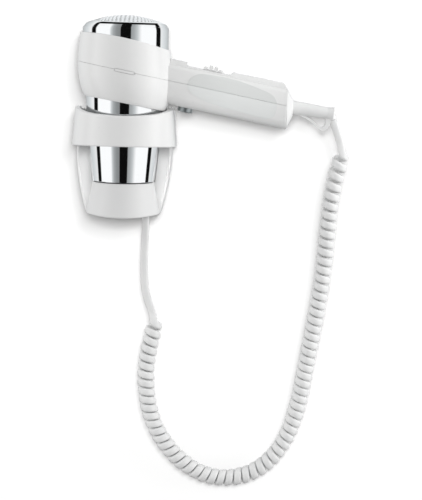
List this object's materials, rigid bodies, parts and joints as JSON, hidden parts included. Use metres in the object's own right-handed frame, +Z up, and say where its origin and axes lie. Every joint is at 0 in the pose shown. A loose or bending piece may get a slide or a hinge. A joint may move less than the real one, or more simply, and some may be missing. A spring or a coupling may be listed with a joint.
{
  "type": "wall-mounted hair dryer",
  "caption": "Hair dryer standing nozzle down in a white wall holder with a collar, joined to it by a curly cord; chromed barrel, white casing and drooping handle.",
  "frame": {"origin": "on the wall plane at the centre of the bracket's four wall screws, below and behind the barrel", "axes": "+Y into the wall, so the front faces -Y; +X along the drooping handle to the right; +Z up along the barrel"},
  "size_m": [0.254, 0.0993, 0.4449],
  "materials": {
    "chrome": "polished",
    "white_plastic": "satin",
    "holder_plastic": "gloss",
    "grip_plastic": "matte",
    "cord_plastic": "satin",
    "filter_mesh": "matte",
    "dark_plastic": "matte",
    "steel": "brushed",
    "brass": "satin",
    "copper": "satin",
    "mica": "matte",
    "magnet": "matte",
    "board": "matte"
  },
  "bodies": {
    "holder": {"holder_shell": "holder_plastic", "nozzle_rest_pad": "dark_plastic", "ring_collar": "holder_plastic", "wall_bracket": "holder_plastic", "terminal_block": "dark_plastic", "terminal_screws": "brass", "cord_tail": "cord_plastic", "cord_gland": "dark_plastic", "holder_cord_clamp": "dark_plastic", "holder_screws": "steel", "cord_lead_lower": "cord_plastic", "cord_coil": "cord_plastic", "cord_lead_upper": "cord_plastic"},
    "handset": {"rear_cap": "chrome", "nozzle": "chrome", "casing_upper": "white_plastic", "casing_lower": "white_plastic", "switch_panel": "white_plastic", "handle_end_cap": "white_plastic", "seam_latch": "white_plastic", "grip_pads_upper": "grip_plastic", "grip_pads_lower": "grip_plastic", "strain_relief": "cord_plastic", "switch_body": "dark_plastic", "micro_switch": "dark_plastic", "button_spring": "steel", "casing_screws": "steel", "handle_cord_tail": "cord_plastic", "handle_cord_clamp": "dark_plastic", "clamp_screws": "steel", "supply_leads": "dark_plastic", "motor_mount": "dark_plastic", "motor_can": "steel", "motor_magnets": "magnet", "motor_brushes": "magnet", "motor_end_bell": "steel", "motor_bearings": "brass", "rectifier_board": "board", "heater_frame": "mica", "heater_coils": "steel", "heater_tube": "mica", "thermal_cutout": "steel", "thermal_fuse": "steel", "outlet_grille": "dark_plastic"},
    "rear_grille": {"rear_grille": "chrome", "intake_filter": "filter_mesh"},
    "rotor": {"fan": "dark_plastic", "motor_shaft": "steel", "motor_armature": "copper", "motor_commutator": "copper"},
    "slide_switch": {"slide_knob": "white_plastic"},
    "push_button": {"push_button": "chrome"}
  },
  "joints": [
    {"name": "handset_lift", "type": "slide", "parent": "holder", "child": "handset", "axis": [0, 0, 1], "range_m": [0, 0.1], "deforming": ["cord_lead_lower", "cord_coil", "cord_lead_upper"]},
    {"name": "grille_pull", "type": "slide", "parent": "handset", "child": "rear_grille", "axis": [0, 0, 1], "range_m": [0, 0.03]},
    {"name": "motor_spin", "type": "hinge", "parent": "handset", "child": "rotor", "pos_m": [0, -0.052, 0.09], "axis": [0, 0, 1], "continuous": true},
    {"name": "speed_slide", "type": "slide", "parent": "handset", "child": "slide_switch", "axis": [0.9823, 0, -0.1874], "range_m": [-0.005, 0.005]},
    {"name": "button_press", "type": "slide", "parent": "handset", "child": "push_button", "axis": [0.1874, 0, 0.9823], "range_m": [0, 0.0025], "stiffness_N_per_m": 400, "springref_m": -0.001, "deforming": ["button_spring"]}
  ]
}
